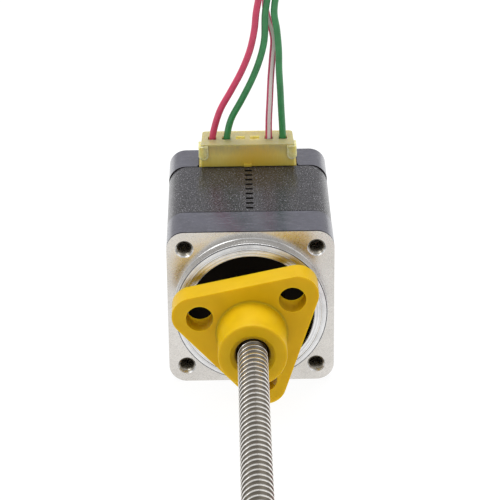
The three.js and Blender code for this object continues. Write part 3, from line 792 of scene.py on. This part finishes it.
def make_pilot_ring():
    """The turned ring, the recess in it and the front bearing's seat, in one profile."""
    groove_out, groove_in = PILOT_R - 0.11, PILOT_R - 0.2
    ring = turned([
        (PILOT_R - 0.9, 0.6),
        (PILOT_R + 0.12, 0.6),
        (PILOT_R + 0.12, 0.02),
        (PILOT_R, -0.12),
        (PILOT_R, PILOT_END + 0.32),
        (PILOT_R - 0.05, PILOT_END + 0.26),
        (PILOT_R - 0.1, PILOT_END + 0.25),
        (groove_out, PILOT_END + 0.4),
        (groove_in, PILOT_END + 0.4),
        (PILOT_R - 0.22, PILOT_END + 0.2),
        (PILOT_R - 1.02, PILOT_END + 0.02),
        (PILOT_R - 1.06, PILOT_END + 0.22),
        (PILOT_R - 1.16, PILOT_END + 0.24),
        (PILOT_R - 1.2, PILOT_END + 0.12),
        (RECESS_R + 0.12, PILOT_END),
        (RECESS_R, PILOT_END + 0.1),
        (RECESS_R, -0.35),
        (RECESS_R, RECESS_FLOOR),
        (5.9, RECESS_FLOOR),
        (5.6, RECESS_FLOOR + 0.25),
        (5.6, 3.8),
        (BEARING_SEAT_R, 3.8),
        (BEARING_SEAT_R, FRONT_LENGTH - 0.1),
        (HUB_R, FRONT_LENGTH - 0.1),
        (HUB_R, POCKET_FLOOR),
        (PILOT_R - 0.9, POCKET_FLOOR),
    ], 160)

    def paint(face):
        middle = face.calc_center_median()
        out = middle.xz.length
        recess = out < RECESS_R + 0.01 and middle.y > -0.4
        groove = groove_in - 0.015 < out < groove_out + 0.008 and middle.y < PILOT_END + 0.45
        # The recess and the groove take the matt black, as painted shade in them.
        return 1 if recess or groove else 0

    finished("pilot_ring", ring, ["turned", "black"], "motor", (), paint)


TAP_ROOT, TAP_CREST = 1.35, 1.18
TAP_PITCH = 0.45
TAP_START, TAP_LAST, TAP_END = 0.25, 4.3, 4.7
COUNTERSINK = 0.18


def make_tapped_hole(number, x, z):
    """A countersunk hole whose thread shows as fine ridges."""
    profile = [(TAPPED_R, TAP_END), (TAPPED_R, 0.02), (TAPPED_R - 0.06, 0.0), (TAP_ROOT + 0.01, COUNTERSINK)]
    y = TAP_START
    while y < TAP_LAST:
        profile += [(TAP_CREST, y + 0.1), (TAP_ROOT, y + 0.3), (TAP_ROOT, y + 0.35)]
        y += TAP_PITCH
    profile += [(TAP_CREST, y + 0.1), (TAP_CREST, TAP_END)]
    hole = turned(profile, 40)
    bmesh.ops.translate(hole, verts=hole.verts, vec=(x, 0, z))

    def paint(face):
        return 1 if face.calc_center_median().y < COUNTERSINK - 0.03 else 0

    finished(f"tapped_hole_{number}", hole, ["bore", "turned"], "motor", (), paint)


# ---- Core and rear cap ----
POLES = 8
TEETH = 5
TOOTH_STEP = 7.2
YOKE_R = 11.6
NECK_HALF, NECK_R = 1.5, 8.1
SHOE_R, TOOTH_ROOT_R, TOOTH_TIP_R = 7.9, 7.1, 6.8
MARKS = 9
MARK_STEP = 1.94
LAST_MARK_Y = 25.1
MARK_DEPTH = 1.6
COLLAR_IN = 0.4


def pole_outline(turn):
    """One stator pole with its toothed shoe, turned about the axis."""
    shoe = [(SHOE_R, 17)]
    for tooth in range(TEETH):
        middle = (TEETH // 2 - tooth) * TOOTH_STEP
        shoe += [(TOOTH_ROOT_R, middle + 1.8), (TOOTH_TIP_R, middle + 1.4)]
        shoe += [(TOOTH_TIP_R, middle - 1.4), (TOOTH_ROOT_R, middle - 1.8)]
    shoe.append((SHOE_R, -17))
    points = [(YOKE_R + 0.4, -NECK_HALF), (YOKE_R + 0.4, NECK_HALF), (NECK_R, NECK_HALF)]
    points += [(r * math.cos(math.radians(a)), r * math.sin(math.radians(a))) for r, a in shoe]
    points.append((NECK_R, -NECK_HALF))
    cos, sin = math.cos(math.radians(turn)), math.sin(math.radians(turn))
    return [(x * cos - z * sin, x * sin + z * cos) for x, z in points]


def core_bores(y0, y1):
    """The hole for the poles and the four case holes."""
    return [rod(0, 0, YOKE_R, y0, y1, 96), *(rod(x, z, CASE_HOLE_R, y0, y1) for x, z in corner_places())]


def make_core():
    low, high = CORE
    start, end = low.y + 0.08, high.y - 0.16
    cutters = core_bores(start - 1, end + 1)
    for i in range(MARKS):
        y = LAST_MARK_Y - MARK_STEP * i
        cutters.append(block((-0.55, 0.69), (y - 0.35, y + 0.35), (SIDE / 2 - MARK_DEPTH, SIDE / 2 + 1)))
    core = boolean(prism(rounded_square(SIDE / 2, CORNER + 0.45, 16), start, end), cutters)
    poles = [prism(pole_outline(360 * i / POLES), start, end) for i in range(POLES)]
    core = boolean(core, poles, "UNION")
    outline = rounded_square(SIDE / 2 - COLLAR_IN, CORNER - COLLAR_IN)
    collar = boolean(prism(outline, end - 0.5, high.y - 0.02), core_bores(start, high.y + 1))
    core = boolean(core, [collar], "UNION")

    def paint(face):
        middle = face.calc_center_median()
        notch = 12.3 < middle.z < SIDE / 2 - 0.05 and abs(middle.x) < 0.8 and 9 < middle.y < 26
        # The notches and the collar at the back take the matt black, as painted shade in the notches and the
        # seam.
        return 1 if notch or middle.y > end + 0.01 else 0

    finished("core_stack", core, ["core", "black"], "motor", ["stator_core"], paint)


REAR_POCKET_END = 32
REAR_SEAT_END = 33.2
SLOT_HALF, SLOT_FRONT_HALF = 8.7, 8.9
SLOT_FRONT_END, SLOT_END = 27.85, 33.1
SLOT_FLOOR = 10.6
HEAD_SEAT, HEAD_SEAT_R = 33.3, 2.4


def make_rear_cap():
    low, high = REAR
    hub = rod(0, 0, HUB_R, low.y - 2, REAR_POCKET_END + 1, 96)
    cutters = [
        boolean(rod(0, 0, POCKET_R, low.y - 1, REAR_POCKET_END, 128), [hub]),
        rod(0, 0, BEARING_SEAT_R, low.y - 1, REAR_SEAT_END, 96),
        block((-SLOT_FRONT_HALF, SLOT_FRONT_HALF), (low.y - 1, SLOT_FRONT_END), (SLOT_FLOOR, SIDE)),
        block((-SLOT_HALF, SLOT_HALF), (low.y, SLOT_END), (SLOT_FLOOR, SIDE)),
    ]
    for x, z in corner_places():
        cutters.append(rod(x, z, CASE_HOLE_R, low.y - 1, high.y + 1))
        cutters.append(rod(x, z, HEAD_SEAT_R, HEAD_SEAT, high.y + 1))
    dish = [(0, high.y - 0.35), (5.2, high.y - 0.35), (5.5, high.y + 1), (0, high.y + 1)]
    cutters.append(turned(dish, 96))
    cap = boolean(prism(rounded_square(SIDE / 2, CORNER), low.y, high.y), cutters)
    cap = eased(cap, CAP_EASE, 2, 50)

    def paint(face):
        # The front face and its eased edge, in the seam with the core, take the matt black as painted shade.
        return 1 if face.calc_center_median().y < low.y + CAP_EASE + 0.002 else 0

    finished("rear_cap_body", cap, ["cap", "black"], "motor", ["rear_end_cap"], paint)


def make_case_screws():
    for number, (x, z) in enumerate(corner_places(), 1):
        shank = turned([
            (0, 5.0),
            (1.0, 5.0),
            (1.25, 5.25),
            (1.25, 33.4),
            (2.0, 33.4),
            (2.1, 33.5),
            (2.1, 33.85),
            (1.9, 34.1),
            (1.4, 34.26),
            (0, 34.3),
        ], 48)
        bar, width, depth = (-1.2, 1.2), (-0.2, 0.2), (33.7, 35)
        screw = boolean(shank, [block(bar, depth, width), block(width, depth, bar)])
        bmesh.ops.translate(screw, verts=screw.verts, vec=(x, 0, z))
        name = f"case_screw_{number}"
        finished(name + "_body", screw, ["bolt"], "motor", [name])


# ---- Screw and nut ----
THREAD_PITCH = 1.4
THREAD_STARTS = 2
THREAD_LEAD = THREAD_PITCH * THREAD_STARTS
CREST_R = SCREW_HIGH.x / MM
ROOT_R = 1.95


def threaded(y0, y1, segments=36):
    """A right-hand thread between two planes: one helical strip whose turns share their edges."""
    form = []
    for start in range(THREAD_STARTS):
        base = start * THREAD_PITCH
        form += [
            (base, ROOT_R + 0.1),
            (base + 0.12, ROOT_R),
            (base + 0.5, ROOT_R),
            (base + 0.62, ROOT_R + 0.1),
            (base + 0.86, CREST_R - 0.06),
            (base + 0.93, CREST_R),
            (base + 1.23, CREST_R),
            (base + 1.3, CREST_R - 0.06),
        ]
    turns = math.ceil((y1 - y0) / THREAD_LEAD) + 3
    bm = bmesh.new()
    rows = []
    for i in range(turns * segments + 1):
        angle = 2 * math.pi * i / segments
        rise = y0 - 2 * THREAD_LEAD + THREAD_LEAD * i / segments
        rows.append([
            bm.verts.new((r * math.cos(-angle), rise + y, r * math.sin(-angle))) for y, r in form
        ])
    for i in range(len(rows) - 1):
        for k in range(len(form)):
            if k + 1 < len(form):
                quad = (rows[i][k], rows[i][k + 1], rows[i + 1][k + 1], rows[i + 1][k])
            elif i + segments + 1 < len(rows):
                above = i + segments
                quad = (rows[i][k], rows[above][0], rows[above + 1][0], rows[i + 1][k])
            else:
                continue
            bm.faces.new(quad)
    for y, side in ((y0, 1), (y1, -1)):
        geometry = [*bm.verts, *bm.edges, *bm.faces]
        bmesh.ops.bisect_plane(bm, geom=geometry, plane_co=(0, y, 0), plane_no=(0, side, 0), clear_inner=True)
    rims = [edge for edge in bm.edges if edge.is_boundary]
    bmesh.ops.holes_fill(bm, edges=rims, sides=0)
    bmesh.ops.recalc_face_normals(bm, faces=bm.faces)
    return bm


def make_screw():
    low, high = span("lead_screw")
    thread = threaded(low.y + 0.6, 3.2)
    tip = turned([
        (0, low.y),
        (CREST_R - 0.75, low.y),
        (CREST_R - 0.45, low.y + 0.12),
        (CREST_R - 0.02, low.y + 0.62),
        (0, low.y + 0.62),
    ], 72)
    shank = turned([
        (0, 3.1),
        (CREST_R - 0.25, 3.1),
        (CREST_R - 0.02, 3.4),
        (CREST_R - 0.02, high.y - 0.4),
        (CREST_R - 0.4, high.y),
        (0, high.y),
    ], 72)
    whole = merged([thread, tip, shank])
    finished("threaded_shaft", whole, ["screw"], "rotor", ["lead_screw"])


NUT_FACE, NUT_BACK = -9.3, -5.0
NUT_BORE = 2.72
NUT_LOBES = (42.1, 162.1, 282.1)
LOBE_AT, LOBE_R = 10.15, 3.5  # the photo's lobes; the CAD has 4.3 about the holes, 9 out
NUT_HOLE_AT, NUT_HOLE_R = 9, 2.25
BARREL_R = 5.65
BARREL_EDGE = 0.35


def make_nut():
    front = span("flange_nut")[0].y
    outline = []
    cutters = [rod(0, 0, 5.0, NUT_FACE - 1, NUT_BACK + 1, 96)]
    for angle in NUT_LOBES:
        cos, sin = math.cos(math.radians(angle)), math.sin(math.radians(angle))
        outline += arc(LOBE_AT * cos, LOBE_AT * sin, LOBE_R, angle - 60, angle + 60, 28)
        x, z = NUT_HOLE_AT * cos, NUT_HOLE_AT * sin
        cutters.append(rod(x, z, NUT_HOLE_R, NUT_FACE - 1, NUT_BACK + 1, 64))
    flange = eased(boolean(prism(outline, NUT_FACE, NUT_BACK), cutters), 0.28, 4, 50)
    barrel = turned([
        (NUT_BORE, NUT_BACK - 0.35),
        (NUT_BORE + 0.35, NUT_BACK + 0.01),
        (4.9, NUT_BACK + 0.01),
        (4.9, NUT_FACE + 1),
        (BARREL_R + 0.35, NUT_FACE + 0.02),
        (BARREL_R + 0.35, NUT_FACE - 0.02),
        (BARREL_R + 0.1, NUT_FACE - 0.1),
        (BARREL_R, NUT_FACE - 0.35),
        *arc(BARREL_R - BARREL_EDGE, front + BARREL_EDGE, BARREL_EDGE, 0, -90, 6),
        (3.75, front),
        (3.66, front + 0.03),
        (3.6, front + 0.12),
        (3.05, front + 0.42),
        (2.98, front + 0.5),
        (NUT_BORE, front + 1.0),
    ], 128)
    nut = merged([flange, barrel])
    finished("flange_nut_body", nut, ["acetal"], "nut", ["flange_nut"])


# ---- Plug ----
def upright(outline, z0, z1):
    """An outline of (x, y) pushed upwards."""
    bm = prism(outline, z0, z1)
    for vert in bm.verts:
        vert.co.y, vert.co.z = vert.co.z, vert.co.y
    bmesh.ops.recalc_face_normals(bm, faces=bm.faces)
    return bm


PLUG_PITCH = 2.5
PLUG_HALF = 8.2
PLUG_FRONT, PLUG_BACK = 26.7, 32.9
PLUG_CORNER_R, PLUG_CORNER_X = 0.7, 7.3
PLUG_LOW, PLUG_HIGH = 14.15, 18.3
EAR_AT, EAR_R = 7.775, 0.875
EAR_LOW, EAR_HIGH = 16.3, 18.05
EAR_LEAN = 0.075


def make_plug():
    top = span("connector_plug")[1].z
    back = PLUG_BACK - PLUG_CORNER_R
    outline = [(-PLUG_HALF, PLUG_FRONT), (PLUG_HALF, PLUG_FRONT)]
    outline += arc(PLUG_CORNER_X, back, PLUG_CORNER_R, 0, 90, 6)
    outline += arc(-PLUG_CORNER_X, back, PLUG_CORNER_R, 90, 180, 6)
    key = block((-0.65, 0.65), (26.38, 27.2), (PLUG_LOW, 14.62))
    tongue = block((-7.2, 7.2), (28.2, back), (11.8, PLUG_LOW + 0.35))
    cavities = []
    for position in range(1, 7):
        x = (position - 3.5) * PLUG_PITCH
        if position in RISES:
            cavities.append(block((x - 0.72, x + 0.72), (29.1, 30.5), (11, 19)))
        else:
            cavities.append(block((x - 0.8, x + 0.8), (28.95, 30.6), (top - 0.5, 19)))
            cavities.append(block((x - 0.5, x + 0.5), (29.3, 30.3), (11, 19)))
    housing = boolean(upright(outline, PLUG_LOW, PLUG_HIGH), [key, tongue], "UNION")
    housing = eased(boolean(housing, cavities), 0.14, 3, 50)

    def paint(face):
        middle = face.calc_center_median()
        # Empty cavities take the paler nylon, as painted light.
        empty = abs(middle.x) < 2.2 and 28.9 < middle.y < 30.7 and 14 < middle.z < PLUG_HIGH - 0.02
        return 1 if empty else 0

    looks = ["nylon", "nylon_painted_light"]
    finished("plug_housing", housing, looks, "motor", ["connector_plug"], paint)
    for side, name in ((-EAR_AT, "left"), (EAR_AT, "right")):
        ear = prism(ear_outline(side, EAR_R, EAR_HIGH, EAR_LEAN), 26.42, 29.0)
        dish = prism(ear_outline(side, EAR_R - 0.275, EAR_HIGH - 0.35), 26.2, 26.58)
        ear = eased(boolean(ear, [dish]), 0.07, 2)
        # The ears take the paler nylon, as painted light where they are thin.
        finished(f"plug_ear_{name}", ear, ["nylon_painted_light"], "motor")


def ear_outline(x, half, high, lean=0.0):
    """A tab with a round foot, whose right edge may lean inwards."""
    return [*arc(x, EAR_LOW, half, 180, 360, 16), (x + half - lean, high), (x - half, high)]


# ---- CAD nodes that stay ----
KEPT = {
    "front_bobbin": "plastic",
    "rear_bobbin": "plastic",
    "rotor_cup_front": "rotor",
    "rotor_cup_rear": "rotor",
    "rotor_magnet": "magnet",
    "front_bearing_seal": "black",
    "wave_washer": "bearing",
    "connector_header": "nylon",
    "interface_board": "board",
}
KEPT.update({f"coil_{i}": "copper" for i in range(1, 9)})
KEPT.update({f"header_pin_{i}": "tin" for i in range(1, 7)})
KEPT.update({f"crimp_terminal_{i}": "tin" for i in (1, 2, 5, 6)})
KEPT.update({f"{end}_bearing_{part}": "bearing" for end in ("front", "rear")
             for part in ("inner_ring", "outer_ring", "balls")})


def finish_kept_nodes():
    for node, look in KEPT.items():
        NODES[node].data.materials.clear()
        NODES[node].data.materials.append(LOOKS[look])


# ---- Stage ----
def make_floor():
    mesh = bpy.data.meshes.new("floor")
    reach = 3.0
    corners = [(-reach, -reach, 0), (reach, -reach, 0), (reach, reach, 0), (-reach, reach, 0)]
    mesh.from_pydata(corners, [], [(0, 1, 2, 3)])
    floor = bpy.data.objects.new("floor", mesh)
    look = Look("floor_paper", (0.08, 0.08, 0.08), 0.9)
    look.shader.inputs["Emission Color"].default_value = (1, 1, 1, 1)
    look.shader.inputs["Emission Strength"].default_value = 0.93
    mesh.materials.append(look.material)
    bpy.context.scene.collection.objects.link(floor)


def softbox(name, place, size, energy):
    """A soft white light that faces the motor."""
    data = bpy.data.lights.new(name, "AREA")
    data.shape = "RECTANGLE"
    data.size, data.size_y = size
    data.energy = energy
    light = bpy.data.objects.new(name, data)
    light.location = place
    light.rotation_mode = "QUATERNION"
    light.rotation_quaternion = (ORIGIN - Vector(place)).to_track_quat("-Z", "Y")
    bpy.context.scene.collection.objects.link(light)


def make_lights():
    world = bpy.data.worlds.new("studio")
    world.use_nodes = True
    world.node_tree.nodes["Background"].inputs["Color"].default_value = (1, 1, 1, 1)
    world.node_tree.nodes["Background"].inputs["Strength"].default_value = 0.66
    bpy.context.scene.world = world
    softbox("key", (-0.4, -0.1, 0.6), (0.4, 0.4), 1.2)
    softbox("fill", (0.5, -0.3, 0.35), (0.4, 0.4), 0.35)
    softbox("top", (0.05, 0.3, 0.65), (0.5, 0.4), 3.5)
    bpy.context.scene.view_settings.view_transform = "Standard"


make_camera()
make_leads()
make_tie()
make_front_cap()
make_core()
make_rear_cap()
make_case_screws()
make_screw()
make_nut()
make_plug()
finish_kept_nodes()
make_floor()
make_lights()
